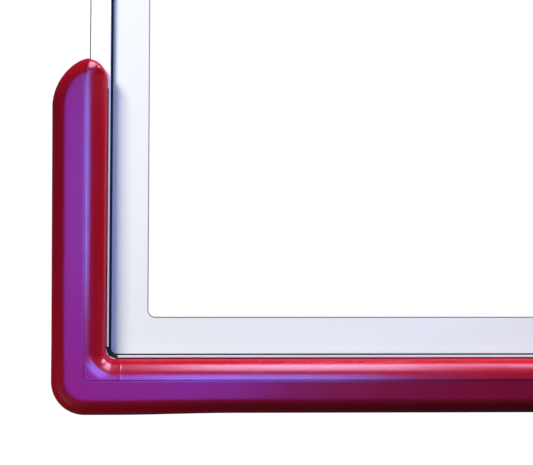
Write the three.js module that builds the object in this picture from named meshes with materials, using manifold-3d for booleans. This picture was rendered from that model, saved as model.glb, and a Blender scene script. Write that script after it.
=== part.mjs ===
import * as THREE from 'three';
import { mergeVertices } from 'three/addons/utils/BufferGeometryUtils.js';
import Module from 'manifold-3d';

const wasm = await Module();
wasm.setup();

// Millimetres. X to the right, the playing face looks along -Y, Z up.
// The origin is on the rear mounting plane, at the middle of the board.
const HALF_W = 900;            // board, half its width
const HALF_H = 525;            // board, half its height
const FACE_Y = -74;            // front plane of the frame
const LIP = 28;                // width of the frame's front lip and of its box
const DEPTH = 50;              // frame, front to back
const WALL = 3;                // frame wall
const SLOT = 21;               // where the glazing slot ends, behind the front plane
const GLASS_FRONT = -68, GLASS_BACK = -56, GLASS_EDGE = 9;
const GAP = 0.3;               // between pieces that touch
const UP_X = 112, UP_HALF = 28.5, UP_FRONT = -50, UP_BACK = -8.3;
const PAD_TOP = -81;           // upper end of the padding on the sides
const NOTCH = 190;             // half width of the padding's flat part at the goal
const BOLT_X = 55, BOLT_Z = [-360, -450];
const PIVOT = { y: -150, z: -405 };
const PIN_R = 8;
const RING_Y = -448, RING_Z = -384, RING_R = 238, ROD_R = 9;
const HOOKS = 12;
const SPRING_X = 19, SPRING_Z = -470, SEAT_Y = -152;
const PLATE_FRONT = -76.3;     // front of the goal's back plate

const MATERIALS = {
  glass: [0xdfe9ee, 0.05, 0], frame: [0xf2f2f2, 0.4, 0.1], gasket: [0x2a2c30, 0.8, 0],
  steel_dark: [0x2c1420, 0.5, 0.2], zinc: [0xb9bcc0, 0.35, 0.9], padding: [0x7a0c30, 0.55, 0],
  orange: [0xe63c0a, 0.4, 0.1], rubber: [0x1b1b1c, 0.9, 0], nylon: [0xf1f1ee, 0.9, 0],
};

// --- geometry helpers -------------------------------------------------------------------

// Welded, closed, outward-facing copy that holds positions only.
function weld(geo) {
  const bare = new THREE.BufferGeometry();
  bare.setAttribute('position', geo.attributes.position.clone());
  if (geo.index) bare.setIndex(geo.index.clone());
  const g = mergeVertices(bare, 1e-3);
  const p = g.attributes.position, faces = [];
  let volume = 0;
  const a = new THREE.Vector3(), b = new THREE.Vector3(), c = new THREE.Vector3();
  for (let i = 0; i < g.index.count; i += 3) {
    const f = [g.index.getX(i), g.index.getX(i + 1), g.index.getX(i + 2)];
    if (f[0] === f[1] || f[1] === f[2] || f[0] === f[2]) continue;
    faces.push(f);
    a.fromBufferAttribute(p, f[0]);
    b.fromBufferAttribute(p, f[1]);
    c.fromBufferAttribute(p, f[2]);
    volume += a.dot(b.cross(c));
  }
  g.setIndex(faces.flatMap((f) => (volume < 0 ? [f[0], f[2], f[1]] : f)));
  return g;
}

function solid(geo) {
  const g = weld(geo);
  return new wasm.Manifold(new wasm.Mesh({
    numProp: 3,
    vertProperties: new Float32Array(g.attributes.position.array),
    triVerts: new Uint32Array(g.index.array),
  }));
}

function geometry(body) {
  const mesh = body.getMesh();
  const g = new THREE.BufferGeometry();
  g.setAttribute('position', new THREE.BufferAttribute(Float32Array.from(mesh.vertProperties), 3));
  g.setIndex(Array.from(mesh.triVerts));
  return g;
}

const cut = (geo, ...tools) =>
  geometry(tools.reduce((body, tool) => body.subtract(solid(tool)), solid(geo)));
const join = (geo, ...more) =>
  geometry(more.reduce((body, other) => body.add(solid(other)), solid(geo)));

function mapped(geo, place) {
  const p = geo.attributes.position;
  for (let i = 0; i < p.count; i++) p.setXYZ(i, ...place(p.getX(i), p.getY(i), p.getZ(i)));
  return geo;
}

const toShape = (points) => new THREE.Shape(points.map(([a, b]) => new THREE.Vector2(a, b)));

// An outline swept to depth 1 (or to the number of steps), ready to be mapped.
function swept(outline, steps = 1, hole = null) {
  const shape = toShape(outline);
  if (hole) shape.holes.push(toShape(hole));
  return new THREE.ExtrudeGeometry(shape, { depth: steps, steps, bevelEnabled: false });
}

// Outlines are (y, z) across X, (x, z) across Y and (x, y) across Z.
function prism(axis, outline, from, to, hole = null) {
  const at = (t) => from + (to - from) * t;
  const place = {
    x: (a, b, t) => [at(t), a, b],
    y: (a, b, t) => [a, at(t), b],
    z: (a, b, t) => [a, b, at(t)],
  };
  return mapped(swept(outline, 1, hole), place[axis]);
}

const rect = (a0, a1, b0, b1) => [[a0, b0], [a1, b0], [a1, b1], [a0, b1]];
const box = (x0, x1, y0, y1, z0, z1) => prism('x', rect(y0, y1, z0, z1), x0, x1);

const circle = (a, b, r, n) => Array.from({ length: n }, (_, i) => {
  const t = (2 * Math.PI * (i + 0.5)) / n;
  return [a + r * Math.cos(t), b + r * Math.sin(t)];
});
const rod = (axis, a, b, r, from, to, n = 16) => prism(axis, circle(a, b, r, n), from, to);
const washer = (axis, a, b, r, bore, from, to, n = 24) =>
  prism(axis, circle(a, b, r, n), from, to, circle(a, b, bore, n));

// A profile of (radius, height) turned about the axis through `at`.
function turned(axis, profile, at, n) {
  const g = new THREE.LatheGeometry(profile.map(([r, h]) => new THREE.Vector2(r, h)), n);
  if (axis === 'z') g.rotateX(Math.PI / 2);
  return g.translate(...at);
}

function tube(points, radius, n, steps) {
  const path = new THREE.CatmullRomCurve3(points.map((p) => new THREE.Vector3(...p)));
  const shape = toShape(circle(0, 0, radius, n));
  return new THREE.ExtrudeGeometry(shape, { extrudePath: path, steps, bevelEnabled: false });
}

// --- the board --------------------------------------------------------------------------

// v runs inward from the board's outer edge, s along that edge, w back from the front plane.
const SIDES = {
  bottom: (v, s, w) => [s, FACE_Y + w, v - HALF_H],
  top: (v, s, w) => [s, FACE_Y + w, HALF_H - v],
  left: (v, s, w) => [v - HALF_W, FACE_Y + w, s],
  right: (v, s, w) => [HALF_W - v, FACE_Y + w, s],
};
const halfLength = (side) => (side === 'bottom' || side === 'top' ? HALF_W : HALF_H);

function mitred(side, outline, hole = null) {
  const half = halfLength(side) - 0.2;
  return mapped(swept(outline, 1, hole), (v, w, t) => SIDES[side](v, (2 * t - 1) * (half - v), w));
}

function frameRail(side) {
  const outline = [[0, 0], [LIP, 0], [LIP, WALL], [WALL, WALL], [WALL, SLOT], [LIP, SLOT],
    [LIP, DEPTH], [0, DEPTH]];
  return mitred(side, outline, rect(WALL, LIP - WALL, SLOT + WALL, DEPTH - WALL));
}

function gasket(side) {
  const front = WALL + GAP, back = SLOT - GAP, inner = 31.5;
  return mitred(side, [[5, front], [inner, front], [inner, 5.7], [8.7, 5.7], [8.7, 18.3],
    [inner, 18.3], [inner, back], [5, back]]);
}

function cornerKey(sx, sz) {
  const a = WALL + GAP, b = LIP - WALL - GAP, c = 70;
  const outline = [[a, a], [c, a], [c, b], [b, b], [b, c], [a, c]]
    .map(([u, v]) => [sx * (HALF_W - u), sz * (HALF_H - v)]);
  return prism('y', outline, FACE_Y + SLOT + WALL + GAP, FACE_Y + DEPTH - WALL - GAP);
}

function glassPanel() {
  const w = HALF_W - GLASS_EDGE, h = HALF_H - GLASS_EDGE;
  const sheet = prism('y', rect(-w, w, -h, h), GLASS_FRONT, GLASS_BACK);
  return cut(sheet, ...boltPlaces().map(([x, z]) => rod('y', x, z, 10.3, -80, -40, 24)));
}

const boltPlaces = () => BOLT_Z.flatMap((z) => [[-BOLT_X, z], [BOLT_X, z]]);

function upright(sx) {
  const end = HALF_H - LIP - GAP, x = sx * UP_X;
  return prism('z', rect(x - UP_HALF, x + UP_HALF, UP_FRONT, UP_BACK), -end, end,
    rect(x - UP_HALF + WALL, x + UP_HALF - WALL, UP_FRONT + WALL, UP_BACK - WALL));
}

function crossBar() {
  const x = UP_X - UP_HALF - GAP;
  return prism('x', rect(UP_FRONT, 0, -25, 25), -x, x, rect(UP_FRONT + WALL, -WALL, -22, 22));
}

function mountPlate(sx, sz) {
  const x = sx * UP_X, z = sz * 380;
  const plate = prism('y', rect(x - 50, x + 50, z - 50, z + 50), UP_BACK + GAP, 0);
  return cut(plate, ...[-38, 38].map((dz) => rod('y', x, z + dz, 6.5, -12, 4, 12)));
}

// --- the padding ------------------------------------------------------------------------

// Each point: v inward, w back, and the radius it takes round the board's corner.
const PAD_SECTION = [
  [24, -5, 12], [20, -12, 15], [12, -17.5, 21], [4, -20.5, 27], [-4, -21.3, 30], [-8, -20, 2],
  [-37, -20, 27], [-44, -18, 34], [-50, -12, 40], [-53, -4, 43], [-53, 60, 43], [-50, 67, 40],
  [-42, 70, 32], [15, 70, 8], [22, 67, 4], [23, 62, 3], [23, DEPTH + 0.5, 3],
  [-0.5, DEPTH + 0.5, 0.5], [-0.5, -0.5, 0.5], [23, -0.5, 12],
];
const PAD_APEX = -2.5;
const PAD_BEND = 6;            // steps round the corner
// Height, outer and inner share of the section left, towards the upper end.
const PAD_END = [[PAD_TOP - 78, 1, 1], [PAD_TOP - 42, 0.84, 1], [PAD_TOP - 23, 0.62, 0.92],
  [PAD_TOP - 9, 0.36, 0.65], [PAD_TOP, 0.1, 0.15]];

function padHalf(sx) {
  const radius = new Map(PAD_SECTION.map(([v, w, r]) => [`${v},${w}`, r]));
  const place = (v32, w32, step) => {
    const v = Math.round(v32 * 10) / 10, w = Math.round(w32 * 10) / 10;
    const r = radius.get(`${v},${w}`), c = v + r, k = Math.round(step);
    if (k === 0) return SIDES.bottom(v, sx, w);
    if (k <= PAD_BEND + 1) {
      const t = (Math.PI / 2) * ((k - 1) / PAD_BEND);
      return [sx * (HALF_W - c + r * Math.sin(t)), FACE_Y + w, c - HALF_H - r * Math.cos(t)];
    }
    const [z, outer, inner] = PAD_END[k - PAD_BEND - 2];
    const left = PAD_APEX + (v - PAD_APEX) * (v < PAD_APEX ? outer : inner);
    return [sx * (HALF_W - left), FACE_Y + w, z];
  };
  const outline = PAD_SECTION.map(([v, w]) => [v, w]);
  const pad = mapped(swept(outline, PAD_BEND + 1 + PAD_END.length), place);
  const x = [sx * NOTCH, -sx * 5].sort((a, b) => a - b);
  return cut(pad, box(...x, FACE_Y - 40, FACE_Y - 0.5, -HALF_H - 10, -HALF_H + 40));
}

function padStrip(sx, along) {
  const y = FACE_Y + 70.3;
  const [x, z] = along === 'bottom' ? [[5, 860], [-HALF_H + 2, -HALF_H + 18]]
    : [[HALF_W - 18, HALF_W - 2], [-490, -160]];
  return prism('y', rect(sx * x[0], sx * x[1], ...z), y, y + WALL);
}

// --- the goal's fixed pieces ------------------------------------------------------------

function backPlate() {
  const plate = prism('y', rect(-78, 78, -490, -340), PLATE_FRONT, GLASS_FRONT - GAP);
  return cut(plate, ...boltPlaces().map(([x, z]) => rod('y', x, z, 6.5, -90, -60, 16)));
}

function goalPlate() {
  const plate = prism('y', rect(-140, 140, -490, -330), GLASS_BACK + GAP, UP_FRONT - GAP);
  return cut(plate, ...boltPlaces().map(([x, z]) => rod('y', x, z, 6.5, -60, -45, 16)));
}

function sidePlate(sx) {
  const outline = [[-76.6, -350], [-95, -362], [-190, -380], [-198, -390], [-198, -440],
    [-140, -560], [-98, -560], [-98, -522], [-76.6, -516]];
  const plate = prism('x', outline, sx * 66, sx * 72);
  return cut(plate, rod('x', PIVOT.y, PIVOT.z, PIN_R + GAP, -90, 90, 24));
}

function goalCover() {
  const outline = [[-98.3, -560], [-140, -560], [-193.2, -450], [-188.7, -450], [-137.4, -556],
    [-98.3, -556]];
  return prism('x', outline, -65.7, 65.7);
}

function goalBolt(x, z) {
  const profile = [[0, -87], [7, -86], [11, -82], [11, -76.6], [6, -76.6], [6, -37], [0, -37]];
  return turned('y', profile, [x, 0, z], 16);
}

const goalNut = (x, z) =>
  prism('y', circle(x, z, 11, 6), -50, -40, circle(x, z, 6.3, 16));
const glassBushing = (x, z) => washer('y', x, z, 10, 6.5, GLASS_FRONT + 0.2, GLASS_BACK - 0.2);

function pivotPin() {
  const at = [PIVOT.y, PIVOT.z];
  const heads = [-1, 1].map((s) => rod('x', ...at, 14, s * 72.3, s * 79, 24));
  return join(rod('x', ...at, PIN_R, -75, 75, 24), ...heads);
}

const pinSpacer = (sx) => washer('x', PIVOT.y, PIVOT.z, 12, PIN_R + GAP, sx * 44.3, sx * 65.7);
const springGuide = (sx) => rod('y', sx * SPRING_X, SPRING_Z, 6, -102.9, PLATE_FRONT - GAP);

function spring(sx) {
  const turns = 6, wire = 2.5, mean = 14.5, points = [];
  const from = PLATE_FRONT - wire - 0.4, to = SEAT_Y + wire + 0.4;
  for (let i = 0; i <= turns * 8; i++) {
    const t = i / (turns * 8), a = 2 * Math.PI * turns * t * sx;
    points.push([sx * SPRING_X + mean * Math.cos(a), from + (to - from) * t,
      SPRING_Z + mean * Math.sin(a)]);
  }
  return tube(points, wire, 5, turns * 10);
}

const stopBar = () => box(-65.7, 65.7, -112, -92, -445, -431);
const bumper = () => box(-60, 60, -110, -94, -430.7, -425.6);

// --- the ring and what tips with it -----------------------------------------------------

function ringRod(tubeRadius, sides, steps) {
  return new THREE.TorusGeometry(RING_R, tubeRadius, sides, steps).translate(0, RING_Y, RING_Z);
}

function hook(i) {
  const a = ((i + 0.5) / HOOKS) * 2 * Math.PI, drop = RING_Z - ROD_R + 3;
  const points = Array.from({ length: 9 }, (_, k) => {
    const t = (k / 8) * Math.PI;
    const along = 9 * Math.cos(t), z = drop - 11 * Math.sin(t);
    return [RING_R * Math.cos(a) - along * Math.sin(a),
      RING_Y + RING_R * Math.sin(a) + along * Math.cos(a), z];
  });
  return tube(points, 2.5, 6, 8);
}

const ring = () =>
  join(ringRod(ROD_R, 10, 48), ...Array.from({ length: HOOKS }, (_, i) => hook(i)));

const ringClearance = () => [ringRod(ROD_R + GAP, 12, 96), rod('z', 0, RING_Y, RING_R, -420, -360, 96)];

function ringArm() {
  const plate = box(-60, 60, -216, -92, -381, -375);
  const outline = [[-92, -380], [-198, -380], [-198, -392], [-182, -428], [-160, -440],
    [-160, -498], [-146, -498], [-146, -436], [-112, -425.3], [-92, -425.3]];
  const webs = [-1, 1].map((s) => prism('x', outline, s * 38, s * 44));
  const seat = box(-40, 40, -158, SEAT_Y, -496, -450);
  const holes = [-1, 1].map((s) => rod('y', s * SPRING_X, SPRING_Z, 5.3, -165, -145));
  return cut(join(plate, ...webs, seat), rod('x', PIVOT.y, PIVOT.z, PIN_R + 0.1, -90, 90, 24),
    ...holes, ...ringClearance());
}

function ringFlange() {
  const outline = [[-58, -201], [58, -201], [118, -236], [104, -262], [-104, -262], [-118, -236]];
  return cut(prism('z', outline, -389.3, -381.3), ...ringClearance());
}

function adjuster(sx) {
  const at = [sx * SPRING_X, SPRING_Z];
  return join(rod('y', ...at, 5, -160, -140), prism('y', circle(...at, 9.5, 6), -166.3, -158.3));
}

// --- the net ----------------------------------------------------------------------------

// Radius and depth below the ring, outside and down, then back up the inside.
const netShell = (outside) => turned('z',
  [...outside, ...outside.map(([r, z]) => [r - 6, z]).reverse(), outside[0]], [0, RING_Y, 0], 32);
const netUpper = () => netShell([[240, -408], [224, -440], [200, -485], [178, -530], [172, -544]]);
const netLower = () => netShell([[169, -562], [160, -610], [151, -660], [143, -720], [137, -770],
  [133, -822]]);

// --- assembly ---------------------------------------------------------------------------

const part = new THREE.Group();
part.name = 'basketball_backboard';

function add(name, material, geo) {
  const [color, roughness, metalness] = MATERIALS[material];
  const mesh = new THREE.Mesh(weld(geo).toNonIndexed(),
    new THREE.MeshStandardMaterial({ name: material, color, roughness, metalness }));
  mesh.geometry.computeVertexNormals();
  mesh.name = name;
  part.add(mesh);
}

const HAND = [['left', -1], ['right', 1]];
const LEVEL = [['top', 1], ['bottom', -1]];

add('glass_panel', 'glass', glassPanel());
for (const side of Object.keys(SIDES)) {
  add(`frame_rail_${side}`, 'frame', frameRail(side));
  add(`gasket_${side}`, 'gasket', gasket(side));
}
for (const [level, sz] of LEVEL) {
  for (const [hand, sx] of HAND) {
    add(`corner_key_${level}_${hand}`, 'zinc', cornerKey(sx, sz));
    add(`mount_plate_${level}_${hand}`, 'steel_dark', mountPlate(sx, sz));
  }
}
add('cross_bar', 'steel_dark', crossBar());
add('goal_plate', 'steel_dark', goalPlate());
for (const [hand, sx] of HAND) {
  add(`upright_${hand}`, 'steel_dark', upright(sx));
  add(`pad_${hand}`, 'padding', padHalf(sx));
  add(`pad_strip_bottom_${hand}`, 'frame', padStrip(sx, 'bottom'));
  add(`pad_strip_side_${hand}`, 'frame', padStrip(sx, 'side'));
  add(`goal_side_plate_${hand}`, 'orange', sidePlate(sx));
  add(`pin_spacer_${hand}`, 'zinc', pinSpacer(sx));
  add(`spring_guide_${hand}`, 'zinc', springGuide(sx));
  add(`spring_${hand}`, 'zinc', spring(sx));
  add(`spring_adjuster_${hand}`, 'zinc', adjuster(sx));
}
boltPlaces().forEach(([x, z], i) => {
  add(`goal_bolt_${i + 1}`, 'zinc', goalBolt(x, z));
  add(`goal_nut_${i + 1}`, 'zinc', goalNut(x, z));
  add(`glass_bushing_${i + 1}`, 'rubber', glassBushing(x, z));
});
add('goal_back_plate', 'orange', backPlate());
add('goal_cover', 'orange', goalCover());
add('pivot_pin', 'steel_dark', pivotPin());
add('stop_bar', 'orange', stopBar());
add('stop_bumper', 'rubber', bumper());
add('ring', 'orange', ring());
add('ring_arm', 'orange', ringArm());
add('ring_flange', 'orange', ringFlange());
add('net_upper', 'nylon', netUpper());
add('net_lower', 'nylon', netLower());

export default part;
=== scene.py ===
import math
import bpy
import numpy as np
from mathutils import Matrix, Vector


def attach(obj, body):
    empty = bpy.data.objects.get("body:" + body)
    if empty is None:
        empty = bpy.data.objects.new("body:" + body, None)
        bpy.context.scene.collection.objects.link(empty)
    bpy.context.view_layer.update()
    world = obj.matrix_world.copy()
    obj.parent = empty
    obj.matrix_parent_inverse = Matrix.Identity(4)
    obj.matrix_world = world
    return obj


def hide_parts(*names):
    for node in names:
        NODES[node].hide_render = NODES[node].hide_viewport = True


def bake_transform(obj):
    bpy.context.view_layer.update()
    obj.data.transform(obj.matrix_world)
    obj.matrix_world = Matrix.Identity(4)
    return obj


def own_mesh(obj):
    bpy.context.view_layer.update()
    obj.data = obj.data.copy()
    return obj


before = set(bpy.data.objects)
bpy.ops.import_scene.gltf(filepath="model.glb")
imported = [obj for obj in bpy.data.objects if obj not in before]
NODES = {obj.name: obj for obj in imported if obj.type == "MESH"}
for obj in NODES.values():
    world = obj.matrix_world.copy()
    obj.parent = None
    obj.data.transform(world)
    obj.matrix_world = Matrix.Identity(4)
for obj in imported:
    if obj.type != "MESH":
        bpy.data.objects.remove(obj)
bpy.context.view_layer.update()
MM = 0.001

# Dimensions shared with the CAD, in metres. X right, the playing face looks along -Y, Z up.
HALF_W, HALF_H = 0.900, 0.525
FACE_Y = -0.074
GLASS_Y = -0.068
PIVOT = Vector((0, -0.150, -0.405))
RING_C = Vector((0, -0.448, -0.384))
RING_R, ROD_R = 0.238, 0.009
HOOKS = 12
BOLTS = [(sx * 0.055, z) for z in (-0.360, -0.450) for sx in (-1, 1)]


# --- mesh helpers -----------------------------------------------------------------------

def add_mesh(name, verts, faces, material, body=None, sharp=None, uv=None, split=()):
    me = bpy.data.meshes.new(name)
    me.from_pydata([tuple(map(float, v)) for v in verts], [], [tuple(map(int, f)) for f in faces])
    if uv is not None:
        layer = me.uv_layers.new(name="UVMap")
        loops = np.empty(len(me.loops), dtype=np.int32)
        me.loops.foreach_get("vertex_index", loops)
        layer.data.foreach_set("uv", np.asarray(uv, dtype=np.float32)[loops].ravel())
    me.polygons.foreach_set("use_smooth", [True] * len(me.polygons))
    if sharp is not None:
        me.set_sharp_from_angle(angle=math.radians(sharp))
    if split:
        split = set(split)
        for edge in me.edges:
            edge.use_edge_sharp = edge.use_edge_sharp or tuple(sorted(edge.vertices)) in split
    me.materials.append(material)
    ob = bpy.data.objects.new(name, me)
    bpy.context.scene.collection.objects.link(ob)
    if body:
        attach(ob, body)
    return ob


def loft_faces(rows, cols, base=0, wrap=True):
    """Faces between successive rows of points. A row closes on itself if wrap is true."""
    out = []
    for r in range(rows - 1):
        for c in range(cols if wrap else cols - 1):
            a, b = base + r * cols + c, base + r * cols + (c + 1) % cols
            out.append((a, b, b + cols, a + cols))
    return out


def tubes(name, paths, radius, material, body=None, sides=8):
    """Round cords or rods along polylines, as one mesh with UVs: u along in diameters, v around."""
    verts, faces, uv = [], [], []
    for path in paths:
        p = np.asarray(path, dtype=float)
        t = np.gradient(p, axis=0)
        t /= np.linalg.norm(t, axis=1)[:, None]
        ref = np.array([0.0, 0.0, 1.0]) if abs(t[0][2]) < 0.9 else np.array([1.0, 0.0, 0.0])
        n = np.cross(t[0], ref)
        n /= np.linalg.norm(n)
        length = np.concatenate([[0], np.cumsum(np.linalg.norm(np.diff(p, axis=0), axis=1))])
        base = len(verts)
        for i in range(len(p)):
            n = n - t[i] * n.dot(t[i])
            n /= np.linalg.norm(n)
            b = np.cross(t[i], n)
            for k in range(sides):
                a = math.tau * k / sides
                verts.append(p[i] + radius * (math.cos(a) * n + math.sin(a) * b))
                uv.append((length[i] / (2 * radius), abs(2 * k / sides - 1)))
        last = base + (len(p) - 1) * sides
        faces += loft_faces(len(p), sides, base)
        faces += [tuple(range(base + sides - 1, base - 1, -1)), tuple(range(last, last + sides))]
    return add_mesh(name, verts, faces, material, body, sharp=50, uv=uv)


def turned(name, profile, at, axis, material, body, sides=40):
    """A profile of (radius, height) turned about X, Y or Z through the point at."""
    order = {"X": (2, 0, 1), "Y": (1, 2, 0), "Z": (0, 1, 2)}[axis]
    verts = []
    for r, h in profile:
        for k in range(sides):
            a = math.tau * k / sides
            local = (r * math.cos(a), r * math.sin(a), h)
            verts.append(Vector(local[i] for i in order) + Vector(at))
    faces = loft_faces(len(profile), sides)
    faces.append(tuple(range(sides - 1, -1, -1)))
    faces.append(tuple(range((len(profile) - 1) * sides, len(profile) * sides)))
    return add_mesh(name, verts, faces, material, body, sharp=35)


def arc(cx, cy, rx, ry, a0, a1, n):
    """n points of an ellipse round (cx, cy), from a0 to a1 degrees."""
    a = np.radians(np.linspace(a0, a1, n))
    return [(cx + rx * math.cos(t), cy + ry * math.sin(t)) for t in a]


def smooth(x, lo, hi):
    """0 below lo, 1 above hi, and an eased step between."""
    t = min(max((x - lo) / (hi - lo), 0.0), 1.0)
    return t * t * (3 - 2 * t)


# --- materials --------------------------------------------------------------------------

class Look:
    """A Principled material with helpers that add procedural variation in object space."""

    def __init__(self, name, color, roughness, metallic=0.0, **sockets):
        self.mat = bpy.data.materials.new(name)
        self.mat.use_nodes = True
        self.tree = self.mat.node_tree
        self.bsdf = self.tree.nodes["Principled BSDF"]
        self.bsdf.inputs["Base Color"].default_value = (*color, 1)
        self.bsdf.inputs["Roughness"].default_value = roughness
        self.bsdf.inputs["Metallic"].default_value = metallic
        for key, value in sockets.items():
            self.bsdf.inputs[key.replace("_", " ")].default_value = value
        self.coords = self.tree.nodes.new("ShaderNodeTexCoord")
        self.normal = None

    def node(self, kind, **settings):
        n = self.tree.nodes.new(kind)
        for key, value in settings.items():
            if key in n.inputs:
                n.inputs[key].default_value = value
            else:
                setattr(n, key, value)
        return n

    def link(self, a, b):
        self.tree.links.new(a, b)

    def space(self, stretch=(1, 1, 1)):
        m = self.node("ShaderNodeMapping")
        m.inputs["Scale"].default_value = stretch
        self.link(self.coords.outputs["Object"], m.inputs["Vector"])
        return m.outputs["Vector"]

    def noise(self, scale, detail, stretch=(1, 1, 1)):
        n = self.node("ShaderNodeTexNoise", Scale=scale, Detail=detail)
        self.link(self.space(stretch), n.inputs["Vector"])
        return n.outputs["Fac"]

    def cells(self, scale, output="Distance"):
        n = self.node("ShaderNodeTexVoronoi", Scale=scale)
        self.link(self.space(), n.inputs["Vector"])
        return n.outputs[output]

    def levels(self, value, lo, hi, out_lo=0.0, out_hi=1.0):
        """The value with lo to hi stretched over out_lo to out_hi."""
        r = self.node("ShaderNodeMapRange")
        for key, v in zip(("From Min", "From Max", "To Min", "To Max"), (lo, hi, out_lo, out_hi)):
            r.inputs[key].default_value = v
        self.link(value, r.inputs["Value"])
        return r.outputs["Result"]

    def bump(self, height, strength, distance):
        b = self.node("ShaderNodeBump", Strength=strength, Distance=distance)
        self.link(height, b.inputs["Height"])
        if self.normal:
            self.link(self.normal, b.inputs["Normal"])
        self.normal = b.outputs["Normal"]
        self.link(self.normal, self.bsdf.inputs["Normal"])

    def paint(self, mask, color):
        """Mixes a colour over the base where the mask is 1."""
        mix = self.node("ShaderNodeMix", data_type="RGBA")
        base = self.bsdf.inputs["Base Color"]
        a, b = [s for s in mix.inputs if s.type == "RGBA"][:2]
        if base.is_linked:
            self.link(base.links[0].from_socket, a)
        else:
            a.default_value = base.default_value
        b.default_value = (*color, 1)
        self.link(mask, mix.inputs["Factor"])
        self.link([s for s in mix.outputs if s.type == "RGBA"][0], base)

    def rough(self, value, lo, hi):
        self.link(self.levels(value, 0.3, 0.7, lo, hi), self.bsdf.inputs["Roughness"])


def shade(color, k):
    return tuple(min(1.0, c * k) for c in color)


def make_padding():
    m = Look("moulded_padding", (0.172, 0.0011, 0.0066), 0.21, IOR=1.5, Specular_IOR_Level=0.30)
    m.paint(m.levels(m.noise(7, 2), 0.3, 0.75), (0.158, 0.0011, 0.0078))
    m.paint(m.levels(m.noise(380, 2), 0.45, 0.75, 0, 0.4), (0.19, 0.0015, 0.0082))
    m.rough(m.noise(30, 2), 0.19, 0.235)
    m.bump(m.noise(11, 1), 0.04, 0.002)
    m.bump(m.noise(430, 2), 0.05, 0.0006)
    m.bump(m.cells(330), 0.03, 0.0005)
    return m.mat


def make_white_frame():
    m = Look("white_powder_coat", (0.90, 0.90, 0.91), 0.36)
    m.paint(m.levels(m.noise(3, 2), 0.4, 0.8, 0, 0.2), (0.84, 0.84, 0.85))
    m.paint(m.levels(m.noise(260, 4, (1, 1, 0.3)), 0.66, 0.8, 0, 0.15), (0.72, 0.71, 0.70))
    m.rough(m.noise(40, 4), 0.30, 0.44)
    m.bump(m.noise(300, 2), 0.05, 0.0005)
    return m.mat


def make_gasket():
    m = Look("glazing_rubber", (0.014, 0.016, 0.022), 0.62, Specular_IOR_Level=0.35)
    m.paint(m.levels(m.noise(30, 5), 0.45, 0.75, 0, 0.6), (0.034, 0.036, 0.042))
    m.rough(m.noise(80, 3), 0.5, 0.72)
    m.bump(m.noise(900, 3), 0.2, 0.0004)
    return m.mat


def make_glass():
    m = Look("clear_glass", (0.90, 0.97, 0.95), 0.03, IOR=1.5, Alpha=0.06)
    m.rough(m.noise(7, 5), 0.02, 0.09)
    m.link(m.levels(m.noise(4, 3), 0.4, 0.75, 0.045, 0.055), m.bsdf.inputs["Alpha"])
    m.bump(m.noise(3, 1), 0.02, 0.002)
    return m.mat


def make_paint_or_painted_shade(name, color):
    m = Look(name, color, 0.30)
    m.paint(m.levels(m.noise(2.5, 1), 0.3, 0.8, 0, 0.5), shade(color, 0.96))
    m.paint(m.levels(m.noise(300, 1), 0.5, 0.85, 0, 0.2), shade(color, 0.95))
    m.rough(m.noise(12, 1), 0.28, 0.36)
    m.bump(m.noise(260, 1), 0.03, 0.0004)
    return m.mat


def make_dark_steel():
    m = Look("dark_powder_coat", (0.040, 0.010, 0.028), 0.42)
    m.paint(m.levels(m.noise(18, 5), 0.45, 0.75, 0, 0.6), (0.065, 0.022, 0.045))
    m.paint(m.levels(m.noise(240, 4, (1, 1, 0.12)), 0.69, 0.76, 0, 0.7), (0.20, 0.17, 0.19))
    m.rough(m.noise(60, 4), 0.34, 0.52)
    m.bump(m.noise(600, 2), 0.14, 0.0005)
    return m.mat


def make_orange():
    m = Look("orange_powder_coat", (0.83, 0.085, 0.004), 0.34)
    m.paint(m.levels(m.noise(14, 5), 0.4, 0.75, 0, 0.7), (0.70, 0.055, 0.003))
    m.paint(m.levels(m.noise(320, 5), 0.70, 0.76, 0, 0.8), (0.30, 0.035, 0.01))
    m.rough(m.noise(70, 4), 0.26, 0.42)
    m.bump(m.noise(480, 2), 0.14, 0.0005)
    return m.mat


def make_zinc():
    m = Look("zinc_plate", (0.56, 0.57, 0.58), 0.34, metallic=1.0)
    m.paint(m.cells(160, output="Color"), (0.50, 0.52, 0.53))
    m.paint(m.levels(m.noise(90, 6), 0.55, 0.75, 0, 0.7), (0.36, 0.35, 0.33))
    m.rough(m.noise(140, 4), 0.26, 0.5)
    m.bump(m.noise(900, 3), 0.12, 0.0003)
    return m.mat


def make_rubber():
    m = Look("black_rubber", (0.022, 0.022, 0.023), 0.7)
    m.paint(m.levels(m.noise(60, 5), 0.45, 0.75, 0, 0.6), (0.05, 0.05, 0.05))
    m.rough(m.noise(90, 4), 0.6, 0.8)
    m.bump(m.noise(800, 3), 0.2, 0.0005)
    return m.mat


def make_cord():
    m = Look("braided_nylon", (0.84, 0.84, 0.82), 0.78, Sheen_Weight=0.35)
    m.paint(m.levels(m.noise(40, 5), 0.45, 0.8, 0, 0.5), (0.70, 0.69, 0.66))
    strands = []
    for turn in (1, -1):
        skew = m.node("ShaderNodeMapping")
        skew.inputs["Rotation"].default_value = (0, 0, turn * 0.72)
        m.link(m.coords.outputs["UV"], skew.inputs["Vector"])
        wave = m.node("ShaderNodeTexWave", Scale=1.6, wave_profile="SIN")
        m.link(skew.outputs["Vector"], wave.inputs["Vector"])
        strands.append(wave.outputs["Fac"])
    weave = m.node("ShaderNodeMath", operation="MAXIMUM")
    m.link(strands[0], weave.inputs[0])
    m.link(strands[1], weave.inputs[1])
    # darker between the strands: painted shade in the braid's grooves
    m.paint(m.levels(weave.outputs["Value"], 0.75, 0.3, 0, 0.55), (0.52, 0.51, 0.50))
    m.bump(weave.outputs["Value"], 0.6, 0.0012)
    m.bump(m.noise(1500, 3), 0.2, 0.0004)
    return m.mat


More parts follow.
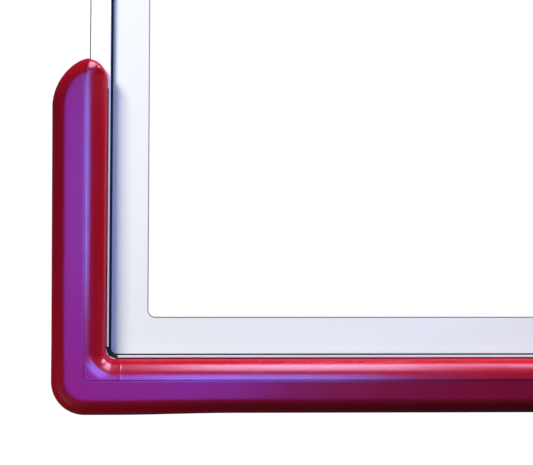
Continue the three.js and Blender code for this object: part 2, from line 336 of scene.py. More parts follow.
PADDING = make_padding()
WHITE = make_white_frame()
GASKET = make_gasket()
GLASS = make_glass()
BORDER = make_paint_or_painted_shade("border_paint", (0.80, 0.845, 0.905))
OUTLINE = make_paint_or_painted_shade("outline_paint", (0.22, 0.22, 0.23))
# dark grey: painted shade of the frame's rounded outer edges
PAINTED_EDGE_SHADE = make_paint_or_painted_shade("edge_trim_grey", (0.11, 0.125, 0.14))
# dark maroon: painted shadow along the padding's inner edge
PAINTED_PAD_SHADOW = make_paint_or_painted_shade("painted_pad_shadow", (0.035, 0.003, 0.012))
DARK = make_dark_steel()
ORANGE = make_orange()
ZINC = make_zinc()
RUBBER = make_rubber()
CORD = make_cord()


# --- CAD nodes that stay ----------------------------------------------------------------

def dress(name, material, bevel=0.0008, segments=3):
    """Gives a CAD node its material, and soft edges through modifiers."""
    ob = NODES[name]
    ob.data.materials.clear()
    ob.data.materials.append(material)
    if bevel:
        weld = ob.modifiers.new("weld", "WELD")
        weld.merge_threshold = 1e-5
        b = ob.modifiers.new("edges", "BEVEL")
        b.width, b.segments, b.limit_method = bevel, segments, "ANGLE"
        b.angle_limit, b.harden_normals = math.radians(32), True


for side in ("bottom", "top", "left", "right"):
    dress(f"frame_rail_{side}", WHITE, 0.0009)
    dress(f"gasket_{side}", GASKET, 0.0008)
for level in ("top", "bottom"):
    for hand in ("left", "right"):
        dress(f"corner_key_{level}_{hand}", ZINC, 0.0004)
        dress(f"mount_plate_{level}_{hand}", DARK, 0.0012)
for hand in ("left", "right"):
    dress(f"upright_{hand}", DARK, 0.0020, 4)
    dress(f"pad_strip_bottom_{hand}", WHITE, 0.0006)
    dress(f"pad_strip_side_{hand}", WHITE, 0.0006)
    dress(f"goal_side_plate_{hand}", ORANGE, 0.0012)
dress("cross_bar", DARK, 0.0020, 4)
dress("goal_plate", DARK, 0.0010)
dress("glass_panel", GLASS, 0)
dress("goal_back_plate", ORANGE, 0.0016)
dress("goal_cover", ORANGE, 0.0010)
dress("stop_bar", ORANGE, 0.0012)
dress("stop_bumper", RUBBER, 0.0014)
dress("ring_arm", ORANGE, 0.0010)
dress("ring_flange", ORANGE, 0.0012)
for i in range(4):
    dress(f"glass_bushing_{i + 1}", RUBBER, 0)


# --- padding ----------------------------------------------------------------------------
# Its section is in millimetres: v inward from the frame's outer edge, w back from its front.

GAP, CHANNEL = -0.6, 50.5      # the channel that takes the frame: its clearance and its depth
OUT, CREASE, TIP = -53.0, -8.4, 24.5
RIM, FLAT, REAR = -4, -20, 70  # w of the front skin at its outline, on its flat face, and at the back
ROLL = (-16.0, 0.0, 40.5, 20.9)  # centre and radii of the roll along the inner edge
ROLL_TOP = -20.4               # w of the roll where the crease begins
ROUND = 20.0                   # radius of the outer edge's rounding
REAR_ROUND = 10                # and of the outer rear edge's
REAR_STAYS = -10               # points at the back stay where they are inward of this v
# radius on which a point of the roll turns the corner, by its v
TURN_V, TURN_RADII = (-8.4, -7.4, -5.5, 2, 5, 15, 24.5), (3, 14, 27, 30, 27, 18, 12)

PAD_TOP = -0.0785              # upper end of the side padding
APEX = -2.5                    # where, across the section, the upper end comes to its point
SHOULDER, DROP = 16, 27        # handles of the curve from that point to the outer side
END_L, END_R = 70, 32          # how far down the two curves of that end reach

# Where the outer edge, the crease and the inner tip lie along the padding, which isn't quite even.
BOTTOM_OUT, BOTTOM_CREASE, EVEN_TIP = -50.6, -4.3, 24.6
SIDE_LOW, SIDE_HIGH = -0.478, -0.120
SIDE_OUT, SIDE_CREASE = (-50.7, -53.0), (-2.9, -4.9)

SEAM, SEAM_ROUND = 0.0010, 0.0030   # half the centre seam's gap, and the rounding beside it
SEAM_PINCH = 0.055             # share by which the section is smaller at the seam
NOTCH = 0.190                  # half width of the thinner stretch that leaves room for the goal
NOTCH_ROLL = (-9.4, -13.5, 7, 6.5)  # the roll's centre and radii there
SAG, SAG_REACH = 5.0, 0.150    # how far the lower side hangs at the seam, and along what length
PART_LINE, PART_WIDTH, PART_HEIGHT = 0.8542, 0.0007, 0.25    # the mould's parting line
TURN_ROWS, END_ROWS = 22, 34   # rows round the corner and over the end
SOFT_ROWS = 22                 # rows below the end's top that have no sharp crease
DOME = (13, 26)                # mm below the top between which the end's dome turns into the section
EASE, EASE_STEPS = (11, 27), 16


def pad_section():
    """(v, w, kind) round the section, starting in the channel."""
    pts = [(GAP, w, "in") for w in (CHANNEL, 38, 25, 12)] + [(v, GAP, "in") for v in (GAP, 8, 16, 21.5)]
    for a0, a1, n in ((1, 64, 20), (66, 79, 10)):
        pts += [(v, -w, "roll") for v, w in arc(*ROLL, a0, a1, n)]
    pts += [(-8.40, -20.35, "crease"), (-8.55, -19.80, "crease"), (-8.8, -19.95, "flat")]
    pts += [(v, FLAT, "flat") for v in np.linspace(-10.0, -31, 8)]
    pts += [(OUT + ROUND * (1 - math.sin(a)), FLAT, "flat") for a in np.linspace(0, math.pi / 2, 12)]
    pts += [(OUT, w, "side") for w in np.linspace(0, 58, 8)]
    pts += [(OUT + REAR_ROUND * (1 - math.cos(a)), REAR - REAR_ROUND * (1 - math.sin(a)), "rear")
            for a in np.linspace(0, math.pi / 2, 7)]
    pts += [(v, REAR, "rear") for v in np.linspace(-36, 10, 7)]
    pts += [(v, w, "edge") for v, w in arc(16, REAR - 7, 7, 7, 90, 0, 6)]
    return pts + [(23, 57, "edge")] + [(v, CHANNEL, "in") for v in (23, 15, 7)]


def corner_radius(v, kind):
    if kind == "roll":
        return np.interp(v, TURN_V, TURN_RADII)
    if kind in ("flat", "side", "rear"):
        return max(2.0, -6.0 - v)
    return 9.0 if v > 10 and kind == "in" else 2.0


def fitted(v, kind, out, crease, tip):
    """A section point's v once the outer edge, crease and tip have moved to where they lie here."""
    if kind in ("roll", "crease", "flat"):
        return float(np.interp(v, (OUT, CREASE, TIP), (out, crease, tip)))
    if kind in ("side", "rear"):
        return v + (out - OUT) * min(max((REAR_STAYS - v) / (REAR_STAYS - OUT), 0.0), 1.0)
    return v


def edge_distance(point, line):
    a, step = line[:-1], np.diff(line, axis=0)
    t = np.clip(((point - a) * step).sum(axis=1) / (step ** 2).sum(axis=1), 0, 1)
    return float(np.min(np.linalg.norm(point - a - step * t[:, None], axis=1)))


def quarter(d, radius):
    """Height of a quarter round, 0 to 1, at distance d from its foot."""
    t = 1 - min(max(d / radius, 0.0), 1.0)
    return math.sqrt(max(0.0, 1 - t * t))


def skin(w, kind, d):
    """w of a section point on the front, d from the padding's outline. Other points keep theirs."""
    if kind not in ("flat", "roll", "crease") or w > RIM:
        return w
    level = FLAT + (w - FLAT) * smooth(d, 12, 22) if w < -15 else w
    return RIM + (level - RIM) * quarter(d, ROUND)


def notched(v, kind):
    """(v, w) of a point on the smaller roll beside the goal."""
    if kind == "in":
        return GAP - 1.6 * (v - GAP) / 22, GAP - 3 * (v - GAP) / 22
    t = (v - CREASE) / (TIP - CREASE)
    nv, nw = arc(*NOTCH_ROLL, 90, 90 - 86 * max(t, 0) ** 0.8, 2)[1]
    return nv, 2 * NOTCH_ROLL[1] - nw


def end_outline():
    """(v, depth below the upper end) along the end's two curves, each from the point down."""
    wide, left = APEX - OUT, []
    for t in np.linspace(1, 0, 60):
        x = 3 * (1 - t) ** 2 * t * SHOULDER + 3 * (1 - t) * t * t * wide + t ** 3 * wide
        left.append((APEX - x, 3 * (1 - t) * t * t * DROP + t ** 3 * END_L))
    right = [(APEX + (EVEN_TIP - APEX) * math.sin(a), END_R - END_R * math.cos(a))
             for a in np.linspace(0, math.pi / 2, 30)]
    return np.array(left), np.array(right)


def bottom_row(section, s):
    """The section at s metres from the middle of the bottom run, as (v, w)."""
    grow = 1 - SEAM_PINCH * (1 - quarter(s - SEAM, SEAM_ROUND))
    cut = 1 - smooth(s, NOTCH - 0.006, NOTCH + 0.026)
    here = (BOTTOM_OUT + (OUT - BOTTOM_OUT) * smooth(s, 0.70, 0.86), BOTTOM_CREASE, EVEN_TIP)
    row = []
    for v, w, kind in section:
        if kind == "roll" and w < -3:
            w -= PART_HEIGHT * math.exp(-((s - PART_LINE) / PART_WIDTH) ** 2)
        vv, ww = v, w
        if kind in ("roll", "crease") or (kind == "in" and w < 0):
            nv, nw = notched(v, kind)
            vv, ww = v + (nv - v) * cut, w + (nw - w) * cut
        if kind == "flat" and w == FLAT:
            ww = RIM + (FLAT - RIM) * quarter(v - OUT, ROUND)
        vv = vv + (fitted(v, kind, *here) - v) * (1 - cut)
        sag = SAG * max(0.0, 1 - s / SAG_REACH) * smooth(-vv, 12, 45)
        row.append((-15 + (vv + 15) * grow - sag, 25 + (ww - 25) * grow))
    return row


def side_row(section, z, left_edge, right_edge):
    """The section at height z of the side padding, as (v, w), narrowed within its rounded end."""
    h = (PAD_TOP - z) / MM
    out = np.interp(z, (SIDE_LOW, SIDE_HIGH), SIDE_OUT)
    crease = np.interp(z, (SIDE_LOW, SIDE_HIGH), SIDE_CREASE)
    left = max(out, np.interp(h, left_edge[::-1, 1], left_edge[::-1, 0]))
    right = np.interp(h, right_edge[:, 1], right_edge[:, 0])
    mid = min(max(crease, left), right)
    outline = np.concatenate([left_edge, right_edge[1:]])
    roll_scale = skin(ROLL_TOP, "crease", edge_distance((mid, h), outline)) / ROLL_TOP
    dome = 1 - smooth(h, *DOME)     # the end's top is one rounded surface, without the crease
    row = []
    for v, w, kind in section:
        vv = fitted(v, kind, out, crease, EVEN_TIP)
        if vv >= crease:
            vv = mid + (vv - crease) * (right - mid) / (EVEN_TIP - crease)
        else:
            vv = mid - (crease - vv) * (mid - left) / (crease - out)
        d = edge_distance((vv, h), outline)
        d = min(d, vv - out) if h >= END_L else d
        if kind in ("roll", "crease"):
            ww = w * roll_scale
            rim = np.interp(vv, (mid, right + 1e-6), (RIM, -1))
            full = rim + (FLAT - rim) * quarter(d, ROUND)
            sloped = rim + (-14 - rim) * quarter(d, 4) - 6 * min(d / 15, 1)
            ww += (full + (sloped - full) * smooth(vv - mid, 0, 4) - ww) * dome
        elif kind == "rear":
            ww = REAR - REAR_ROUND + (w - REAR + REAR_ROUND) * (quarter(d, REAR_ROUND) if h < 100 else 1)
        else:
            ww = skin(w, kind, d)
        row.append((vv, ww))
    return row


def ease_end(rows, section):
    """Smooths the front skin over the rounded end, across and up."""
    front = [i for i, p in enumerate(section) if p[2] in ("roll", "crease", "flat")][1:-1]
    a, b = front[0], front[-1] + 1
    cap = rows[-(END_ROWS + 1):]
    depth = np.array([[p[1] for p in row] for row in cap])
    ease = np.array([1 - smooth((PAD_TOP - row[0][2]) / MM, *EASE) for row in cap])[1:-1, None]
    for _ in range(EASE_STEPS):
        inner = depth[1:-1, a:b]
        beside = depth[1:-1, a - 1:b - 1] + depth[1:-1, a + 1:b + 1] - 2 * inner
        above = depth[:-2, a:b] + depth[2:, a:b] - 2 * inner
        depth[1:-1, a:b] = inner + ease * (0.25 * beside + 0.12 * above)
    for row, line in zip(cap, depth):
        row[:] = [(p[0], float(y), p[2]) for p, y in zip(row, line)]


def pad_half(sx):
    section = pad_section()
    rows = []
    # bottom run, from the centre seam out to the corner
    stations = [SEAM, 0.0013, 0.0018, 0.0026, 0.0040] + list(np.linspace(0.012, 0.845, 60))
    stations += [0.8520, 0.8532, PART_LINE, 0.8552, 0.8564]
    for s in stations:
        rows.append([(sx * s, FACE_Y + w * MM, -HALF_H + v * MM) for v, w in bottom_row(section, s)])
    # round the corner, each point on its own radius
    for k in range(TURN_ROWS + 1):
        a = math.pi / 2 * k / TURN_ROWS
        row = []
        for v, w, kind in section:
            r = corner_radius(v, kind)
            across = fitted(v, kind, SIDE_OUT[0], SIDE_CREASE[0], EVEN_TIP) + r
            rise = fitted(v, kind, OUT, BOTTOM_CREASE, EVEN_TIP) + r
            row.append((sx * (HALF_W - (across - r * math.sin(a)) * MM),
                        FACE_Y + skin(w, kind, v - OUT) * MM,
                        -HALF_H + (rise - r * math.cos(a)) * MM))
        rows.append(row)
    # up the side, then the rounded end
    edges = end_outline()
    heights = list(np.linspace(SIDE_LOW, PAD_TOP - 0.082, 18))
    heights += [PAD_TOP - END_L * (1 - math.sin(a)) * MM for a in np.linspace(0, math.pi / 2, END_ROWS)]
    for z in heights:
        rows.append([(sx * (HALF_W - v * MM), FACE_Y + w * MM, z)
                     for v, w in side_row(section, z, *edges)])
    ease_end(rows, section)

    n = len(section)
    faces = loft_faces(len(rows), n)
    faces.append(tuple(range(n - 1, -1, -1)))
    faces.append(tuple(range((len(rows) - 1) * n, len(rows) * n)))
    if sx > 0:
        faces = [f[::-1] for f in faces]
    first, last = [i for i, p in enumerate(section) if p[2] == "crease"]
    sharp = [(r * n + i, (r + 1) * n + i) for r in range(len(stations), len(rows) - SOFT_ROWS)
             for i in (first - 1, first, last)]
    hand = "left" if sx < 0 else "right"
    pad = add_mesh(f"padding_{hand}", [p for row in rows for p in row], faces, PADDING,
                   "board", split=sharp)
    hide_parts(f"pad_{hand}")
    return pad


PADS = [pad_half(-1), pad_half(1)]


# --- painted lines on the glass ---------------------------------------------------------

def rounded(half_w, half_h, radius, middle=0.0):
    """Outline of a rectangle with rounded corners, its middle at that height."""
    pts = []
    for k, (sx, sz) in enumerate(((1, 1), (-1, 1), (-1, -1), (1, -1))):
        cx, cz = sx * (half_w - radius), middle + sz * (half_h - radius)
        pts += arc(cx, cz, radius, radius, 90 * k, 90 * k + 90, 9)
    return pts


PAINT_Y, PAINT = GLASS_Y - 0.00002, 0.00012    # where the paint starts, and how thick it is


def line_ring(name, outer, inner, y, material):
    n = len(outer)
    verts = [(x, yy, z) for yy in (y, y - PAINT) for x, z in outer + inner]
    faces = []
    for k in range(n):
        j = (k + 1) % n
        faces += [(k, j, n + j, n + k), (2 * n + j, 2 * n + k, 3 * n + k, 3 * n + j),
                  (j, k, 2 * n + k, 2 * n + j), (n + k, n + j, 3 * n + j, 3 * n + k)]
    return add_mesh(name, verts, faces, material, "board", sharp=30)


line_ring("border_line", rounded(0.8730, 0.4980, 0.002), rounded(0.8183, 0.4434, 0.011),
          PAINT_Y, BORDER)
line_ring("border_outline", rounded(0.8185, 0.4436, 0.0112), rounded(0.8170, 0.4421, 0.0097),
          PAINT_Y - 0.0001, OUTLINE)
line_ring("target_line", rounded(0.262, 0.225, 0.004, -0.200), rounded(0.212, 0.175, 0.004, -0.200),
          PAINT_Y, BORDER)


# --- glazing corners with painted shade, beads, and strips of painted shade at the frame's and the padding's edges ---

LIP_Y = -0.07402               # just in front of the frame's lip
# y of the beads' front, and of the strips of painted shadow at the padding's edge
BEAD_Y, PAINTED_PAD_SHADOW_Y = -0.0746, -0.0750
# width and back of the dark grey strips of painted edge shade
PAINTED_EDGE_SHADE_WIDTH, PAINTED_EDGE_SHADE_BACK = 0.0014, -0.0705


def bar(name, lo, hi, material):
    """A box between two opposite corners, its edges just broken."""
    verts = [(x, y, z) for x in (lo[0], hi[0]) for y in (lo[1], hi[1]) for z in (lo[2], hi[2])]
    faces = [(0, 1, 3, 2), (4, 6, 7, 5), (0, 4, 5, 1), (2, 3, 7, 6), (0, 2, 6, 4), (1, 5, 7, 3)]
    ob = add_mesh(name, verts, faces, material, "board", sharp=30)
    edges = ob.modifiers.new("edges", "BEVEL")
    edges.width, edges.segments = 0.0002, 2
    return ob


def glazing_corner_with_shade(name, sx, sz):
    """The moulded quarter turn where two runs of the glazing rubber meet. Its dark band also reaches onto
    the frame's lip, as painted shade in the corner.
    """
    cx, cz, n = sx * (HALF_W - 0.0395), sz * (HALF_H - 0.0395), 20
    verts = []
    foot = -0.07405
    for radius, y in ((0.0145, foot), (0.0142, BEAD_Y), (0.0082, BEAD_Y), (0.0078, foot)):
        verts += [(cx + sx * x, y, cz + sz * z) for x, z in arc(0, 0, radius, radius, -8, 98, n)]
    faces = loft_faces(4, n, wrap=False) + [(k, k + 1, 3 * n + k + 1, 3 * n + k) for k in range(n - 1)]
    faces += [(0, n, 2 * n, 3 * n), (n - 1, 4 * n - 1, 3 * n - 1, 2 * n - 1)]
    add_mesh(name, verts, faces, GASKET, "board", sharp=40)


def mirrored_pair(sign, near, far):
    """Two places on one side of the middle, in rising order."""
    return sorted((sign * near, sign * far))


for level, sz in (("top", 1), ("bottom", -1)):
    for hand, sx in (("left", -1), ("right", 1)):
        glazing_corner_with_shade(f"glazing_corner_{level}_{hand}", sx, sz)
    z0, z1 = mirrored_pair(sz, HALF_H - 0.0274, HALF_H - 0.0292)
    bar(f"glazing_bead_{level}", (-0.860, BEAD_Y, z0), (0.860, LIP_Y, z1), WHITE)
for hand, sx in (("left", -1), ("right", 1)):
    # Dark grey strips beside the frame's outer edges: painted shade of its rounded edges.
    x0, x1 = mirrored_pair(sx, HALF_W, HALF_W + PAINTED_EDGE_SHADE_WIDTH)
    bar(f"edge_trim_{hand}", (x0, FACE_Y, -0.0770), (x1, PAINTED_EDGE_SHADE_BACK, HALF_H), PAINTED_EDGE_SHADE)
    # Dark maroon strips on the frame's lip along the padding's inner edge: painted shadow of that edge.
    x0, x1 = mirrored_pair(sx, HALF_W - 0.0243, HALF_W - 0.0257)
    bar(f"pad_edging_side_{hand}", (x0, PAINTED_PAD_SHADOW_Y, -0.4860), (x1, LIP_Y, -0.1200), PAINTED_PAD_SHADOW)
    x0, x1 = mirrored_pair(sx, 0.2160, 0.8610)
    bar(f"pad_edging_bottom_{hand}", (x0, PAINTED_PAD_SHADOW_Y, -0.5007), (x1, LIP_Y, -0.4987), PAINTED_PAD_SHADOW)
# the same painted edge shade along the top
bar("edge_trim_top", (-HALF_W - PAINTED_EDGE_SHADE_WIDTH, FACE_Y, HALF_H),
    (HALF_W + PAINTED_EDGE_SHADE_WIDTH, PAINTED_EDGE_SHADE_BACK, HALF_H + PAINTED_EDGE_SHADE_WIDTH), PAINTED_EDGE_SHADE)


# --- goal hardware ----------------------------------------------------------------------

BOLT_PROFILE = [(0.0058, -0.0850), (0.0062, -0.0872), (0.0068, -0.0872), (0.0085, -0.0868),
                (0.0102, -0.0852), (0.0109, -0.083), (0.0110, -0.0775), (0.0106, -0.0767),
                (0.0060, -0.0766), (0.0060, -0.0385), (0.0048, -0.0372)]
GUIDE_PROFILE = [(0.0060, -0.0766), (0.0060, -0.1015), (0.0046, -0.1029)]
SPACER_PROFILE = [(0.0083, 0.0443), (0.0118, 0.0443), (0.012, 0.0448),
                  (0.012, 0.0652), (0.0118, 0.0657), (0.0083, 0.0657)]
PIN_HEAD = [(0.0100, 0.0790), (0.0126, 0.0785), (0.0138, 0.0768), (0.0140, 0.0740),
            (0.0136, 0.0724), (0.0080, 0.0723)]
SPRING_X, SPRING_Z = 0.019, -0.470
SPRING_FIXED, SPRING_SEAT = -0.0763, -0.152    # y of the spring's two ends

for i, (x, z) in enumerate(BOLTS):
    bolt = turned(f"goal_bolt_smooth_{i + 1}", BOLT_PROFILE, (x, 0, z), "Y", ZINC, "board")
    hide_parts(f"goal_bolt_{i + 1}")
    dress(f"goal_nut_{i + 1}", ZINC, 0.0009)

for hand, sx in (("left", -1), ("right", 1)):
    guide = turned(f"guide_pin_{hand}", GUIDE_PROFILE, (sx * SPRING_X, 0, SPRING_Z), "Y", ZINC,
                   "board", 28)
    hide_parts(f"spring_guide_{hand}")
    spacer = turned(f"spacer_tube_{hand}", [(r, sx * x) for r, x in SPACER_PROFILE],
                    (0, PIVOT.y, PIVOT.z), "X", ZINC, "board")
    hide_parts(f"pin_spacer_{hand}")
    dress(f"spring_adjuster_{hand}", ZINC, 0.0006)

pin = turned("pivot_pin_smooth", [(r, -x) for r, x in PIN_HEAD] + PIN_HEAD[::-1],
             (0, PIVOT.y, PIVOT.z), "X", DARK, "board", 48)
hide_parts("pivot_pin")


def spring(sx, hand):
    turns, steps, wire, mean = 6, 26, 0.0025, 0.0145
    closed, dead = 0.07, 0.035      # share of the wire in each closed end, and the height it takes up
    inset = wire + 0.0004
    y0, y1 = SPRING_FIXED - inset, SPRING_SEAT + inset
    pts = []
    for i in range(turns * steps + 1):
        t = i / (turns * steps)
        lead = min(max((t - closed) / (1 - 2 * closed), 0), 1) * (1 - 2 * dead)
        lead += dead * (min(t / closed, 1) + max((t - 1 + closed) / closed, 0))
        a = math.tau * turns * t * sx
        pts.append((sx * SPRING_X + mean * math.cos(a), y0 + (y1 - y0) * lead,
                    SPRING_Z + mean * math.sin(a)))
    coil = tubes(f"coil_{hand}", [pts], wire, ZINC, "board", 12)
    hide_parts(f"spring_{hand}")
    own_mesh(coil)


spring(-1, "left")
spring(1, "right")


def beads(name, lines, radius, body):
    """Weld beads: rods laid in the corner between two plates."""
    paths = []
    for a, b in lines:
        a, b = Vector(a), Vector(b)
        n = max(4, int((b - a).length / 0.0016))
        paths.append([a.lerp(b, i / n) for i in range(n + 1)])
    tubes(name, paths, radius, ORANGE, body)


for hand, sx in (("left", -1), ("right", 1)):
    x, y = sx * 0.0725, -0.0772
    beads(f"weld_plate_{hand}", [((x, y, -0.353), (x, y, -0.488))], 0.0024, "board")
beads("weld_cover", [((sx * 0.0655, -0.1428, -0.5555), (sx * 0.0655, -0.1915, -0.4560)) for sx in (-1, 1)],
      0.0018, "board")
beads("weld_arm", [((sx * x, -0.096, -0.3815), (sx * x, -0.196, -0.3815))
                   for x in (0.0375, 0.0445) for sx in (-1, 1)], 0.0022, "ring_assembly")


# --- ring -------------------------------------------------------------------------------

def ring_axes(angle):
    """Unit vectors out of the ring's centre and along its rod, at that angle."""
    c, s = math.cos(angle), math.sin(angle)
    return Vector((c, s, 0)), Vector((-s, c, 0))


def up(z):
    return Vector((0, 0, z))


def ring_rod():
    steps, sides = 160, 20
    verts = []
    for i in range(steps):
        out = ring_axes(math.tau * i / steps)[0]
        for k in range(sides):
            b = math.tau * k / sides
            verts.append(RING_C + out * (RING_R + ROD_R * math.cos(b)) + up(ROD_R * math.sin(b)))
    faces = []
    for i in range(steps):
        for k in range(sides):
            a, b = i * sides, ((i + 1) % steps) * sides
            faces.append((a + k, b + k, b + (k + 1) % sides, a + (k + 1) % sides))
    return add_mesh("ring_smooth", verts, faces, ORANGE, "ring_assembly")


ring = ring_rod()
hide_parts("ring")


def hook_angle(i):
    return math.tau * (i + 0.5) / HOOKS


def hooks():
    """The half round hooks welded under the ring."""
    paths = []
    for i in range(HOOKS):
        out, side = ring_axes(hook_angle(i))
        top = RING_C + out * RING_R + up(-ROD_R + 0.003)
        paths.append([top + side * (0.009 * math.cos(t)) - up(0.011 * math.sin(t))
                      for t in np.linspace(0, math.pi, 22)])
    tubes("net_hooks", paths, 0.0025, ORANGE, "ring_assembly", 12)


hooks()
beads("weld_ring", [(RING_C + Vector((sx * 0.052, 0.2300, 0.0075)),
                     RING_C + Vector((sx * 0.004, 0.2362, 0.0083))) for sx in (-1, 1)],
      0.0020, "ring_assembly")


# --- net --------------------------------------------------------------------------------

# height and radius of each row of knots; the first is the row of loops on the hooks
NET_ROWS = [(-0.402, 0.2375), (-0.462, 0.209), (-0.526, 0.182), (-0.590, 0.1625), (-0.652, 0.150),
            (-0.712, 0.142), (-0.768, 0.136), (-0.815, 0.1315)]
CORD_R = 0.0029


def net_points():
    """Where the cords cross, row by row, each a little off its regular place."""
    rng = np.random.RandomState(7)
    rows = []
    for r, (z, radius) in enumerate(NET_ROWS):
        shift = 0.5 if r % 2 == 0 else 0.0
        jitter = 0.0 if r == 0 else 1.0
        row = []
        for i in range(HOOKS):
            a = math.tau * (i + shift) / HOOKS + jitter * rng.uniform(-0.016, 0.016)
            rad = radius + jitter * rng.uniform(-0.0025, 0.0025)
            row.append(Vector((RING_C.x + rad * math.cos(a), RING_C.y + rad * math.sin(a),
                               z + jitter * rng.uniform(-0.003, 0.003))))
        rows.append(row)
    return rows


def net_cords(rows):
    cords = []
    for r in range(len(rows) - 1):
        for i in range(HOOKS):
            for step in ((0, 1) if r % 2 == 0 else (0, -1)):
                p, q = rows[r][i], rows[r + 1][(i + step) % HOOKS]
                mid = (p + q) / 2
                out = Vector((mid.x - RING_C.x, mid.y - RING_C.y, 0)).normalized()
                sag = out * (0.004 if r < 2 else 0.0015) + up(-0.003)
                cords.append([p * (1 - t) + q * t + sag * math.sin(math.pi * t)
                              for t in np.linspace(0, 1, 11)])
    for i in range(HOOKS):      # the loop over each hook
        out, side = ring_axes(hook_angle(i))
        c = RING_C + out * RING_R + up(-0.0185)
        cords.append([c + out * (0.0062 * math.cos(t)) + up(0.0072 * math.sin(t))
                      + side * 0.0009 * math.sin(2 * t) for t in np.linspace(0, math.tau, 20)])
    return cords


def net_knots(rows):
    """Two tilted turns of cord round every crossing, and a short tail under the last row."""
    knots = []
    for r, row in enumerate(rows[1:], 1):
        for p in row:
            out, side = ring_axes(math.atan2(p.y - RING_C.y, p.x - RING_C.x))
            for dz, tilt in ((-0.0035, 0.3), (0.0035, -0.3)):
                knots.append([p + out * (0.0050 * math.cos(t)) + side * (0.0052 * math.sin(t))
                              + up(dz + tilt * 0.004 * math.sin(t))
                              for t in np.linspace(0, math.tau, 15)])
            if r == len(rows) - 1:
                knots.append([p + up(-0.001), p + Vector((0.0006, 0, -0.006))])
    return knots


crossings = net_points()
net = tubes("knotted_net", net_cords(crossings) + net_knots(crossings), CORD_R, CORD, None)
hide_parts("net_upper", "net_lower")
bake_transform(net)


# --- small fixings ----------------------------------------------------------------------

SCREW_PROFILE = [(0.0048, -0.0012), (0.0048, -0.0009), (0.0044, -0.0002), (0.0030, 0.0004),
                 (0.0016, 0.0002)]


def screws():
    """The screws through the strips that hold the padding at the back."""
    n = 0
    for sx in (-1, 1):
        places = [(sx * x, -HALF_H + 0.010) for x in np.linspace(0.03, 0.83, 6)]
        places += [(sx * (HALF_W - 0.010), z) for z in np.linspace(-0.47, -0.18, 3)]
        for x, z in places:
            n += 1
            turned(f"strip_screw_{n:02d}", SCREW_PROFILE, (x, 0, z), "Y", ZINC, "board", 20)


screws()


# --- stage, light and camera ------------------------------------------------------------

def floor():
    """A pale disc under the board."""
    n, radius, z = 96, 2.3, -0.95
    look = Look("pale_floor", (0.80, 0.80, 0.81), 0.7)
    look.bump(look.noise(30, 3), 0.03, 0.001)
    rim = [(radius * math.cos(math.tau * k / n), -0.25 + radius * math.sin(math.tau * k / n), z)
           for k in range(n)]
    ob = add_mesh("floor", rim, [tuple(range(n))], look.mat)
    ob.visible_diffuse = ob.visible_glossy = False


def backdrop():
    """A white surround that only the camera sees."""
    rows, cols, r = 24, 48, 40.0
    verts = [(r * math.cos(p) * math.cos(math.tau * c / cols),
              r * math.cos(p) * math.sin(math.tau * c / cols), r * math.sin(p))
             for p in np.linspace(-math.pi / 2 + 1e-3, math.pi / 2 - 1e-3, rows) for c in range(cols)]
    m = bpy.data.materials.new("white_backdrop")
    m.use_nodes = True
    b = m.node_tree.nodes["Principled BSDF"]
    b.inputs["Base Color"].default_value = (0, 0, 0, 1)
    b.inputs["Emission Color"].default_value = (1, 1, 1, 1)
    b.inputs["Emission Strength"].default_value = 1.05
    ob = add_mesh("backdrop", verts, loft_faces(rows, cols), m)
    ob.visible_diffuse = ob.visible_glossy = ob.visible_transmission = False
    ob.visible_shadow = False


floor()
backdrop()

scene = bpy.context.scene
scene.view_settings.view_transform = "Standard"
world = bpy.data.worlds.new("studio")
scene.world = world
world.use_nodes = True
background = world.node_tree.nodes["Background"]
background.inputs["Color"].default_value = (0.60, 0.74, 1.0, 1)
background.inputs["Strength"].default_value = 0.11


def place(name, data, location, direction):
    """Adds a light or a camera to the scene, looking along the direction."""
    ob = bpy.data.objects.new(name, data)
    scene.collection.objects.link(ob)
    ob.location = location
    ob.rotation_mode = "QUATERNION"
    ob.rotation_quaternion = direction.to_track_quat("-Z", "Y")
    return ob


def area(name, location, target, size, power, color=(1, 1, 1)):
    light = bpy.data.lights.new(name, "AREA")
    light.shape = "RECTANGLE"
    light.size, light.size_y = size
    light.energy, light.color = power, color
    return place(name, light, location, Vector(target) - Vector(location))


def only_on(light, *objects):
    """Keeps a light to these objects."""
    group = bpy.data.collections.new(light.name + "_receivers")
    for ob in objects:
        group.objects.link(ob)
    light.light_linking.receiver_collection = group
    return group


def not_on(light, *objects):
    """Keeps a light off these objects."""
    for item in only_on(light, *objects).collection_objects:
        item.light_linking.link_state = "EXCLUDE"


def unmirrored(light):
    """A soft fill that brightens a surface without showing in it."""
    light.visible_glossy = False
    return light


def mirrored(light):
    """A panel that only shows in the surface as a reflection."""
    light.visible_diffuse = False
    return light


KEY, KEY_AIM = (-3.75, -2.07, 3.26), (-0.85, -0.07, -0.29)
FRONT, FRONT_AIM, FRONT_SIZE = (1.5, -3.0, 1.3), (-0.3, 0, -0.2), (1.8, 1.8)
BACK, BACK_SIZE = (0.6, 2.6, 1.4), (2.0, 1.6)
PALE_LILAC = (0.80, 0.60, 1.0)

not_on(area("key", KEY, KEY_AIM, (1.25, 1.25), 540, (1.0, 0.93, 0.67)), *PADS)
not_on(area("front_fill", FRONT, FRONT_AIM, FRONT_SIZE, 70, (0.42, 0.51, 1.0)), *PADS)
not_on(area("side_fill", (1.9, -1.5, -0.2), (-0.5, 0, -0.3), (1.2, 1.2), 28, (0.36, 0.44, 1.0)), *PADS)
not_on(area("back", BACK, (0, 0, 0), BACK_SIZE, 60, (0.97, 0.98, 1.0)), *PADS)

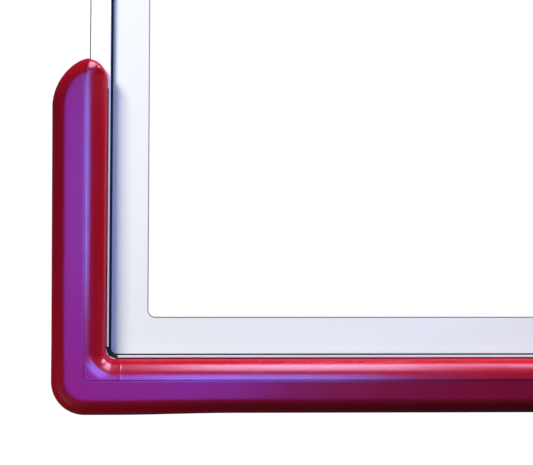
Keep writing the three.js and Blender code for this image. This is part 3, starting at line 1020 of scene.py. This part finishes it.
only_on(area("frame_fill", FRONT, FRONT_AIM, FRONT_SIZE, 60, (1.0, 0.85, 0.92)),
        *(NODES[f"frame_rail_{side}"] for side in ("left", "right", "bottom", "top")))

# Light kept to the padding: broad fills, then the coloured panels and softboxes it mirrors.
fills = [
    area("pad_key", KEY, KEY_AIM, (0.8, 0.8), 200),
    area("pad_overhead", (-0.25, -0.12, 2.2), (-0.6, -0.10, -0.5), (1.4, 0.5), 290),
    area("pad_right", (1.0, -0.32, 0.55), (-0.88, -0.09, -0.3), (0.5, 0.5), 60),
    area("pad_back", BACK, (0, 0, 0), BACK_SIZE, 50),
    area("pad_low_left", (-1.30, -0.50, -0.85), (-0.85, -0.09, -0.5), (0.3, 0.3), 3.6, (1.0, 0.7, 1.0))]
panels = [
    area("violet_panel", (-0.99, -2.0, -0.235), (-0.99, 0, -0.235), (0.74, 1.17), 37, (0.13, 0.055, 1.0)),
    area("violet_spill", (-0.05, -2.0, -0.60), (-0.05, 0, -0.60), (1.1, 0.9), 2.2, (0.04, 0.02, 1.0)),
    area("lilac_panel", (-0.635, -1.99, -0.025), (-0.635, 0, -0.025), (0.70, 0.75), 58, (0.08, 0.21, 0.95)),
    area("roll_softbox", (-0.49, -1.46, 1.46), (-0.57, -0.09, -0.5), (0.84, 1.30), 75, PALE_LILAC),
    area("high_softbox", (-0.20, -1.15, 1.60), (-0.65, -0.09, -0.35), (1.3, 0.5), 26, (0.80, 0.62, 0.95)),
    area("corner_softbox", (0.52, -1.00, 1.12), (-0.877, -0.09, -0.40), (0.62, 0.50), 41, PALE_LILAC)]
for light in [unmirrored(light) for light in fills] + [mirrored(light) for light in panels]:
    only_on(light, *PADS)

VIEW_WIDTH, FOCAL = 533, 1200     # the view's width and the camera's focal length, in the same unit
camera = bpy.data.cameras.new("camera")
camera.sensor_width = 36.0
camera.lens = 36.0 * FOCAL / VIEW_WIDTH
yaw, pitch = math.radians(1.5), math.radians(3.5)
aim = Vector((math.sin(yaw) * math.cos(pitch), math.cos(yaw) * math.cos(pitch), math.sin(pitch)))
scene.camera = place("camera", camera, (-0.6955, -1.760, -0.4269), aim)
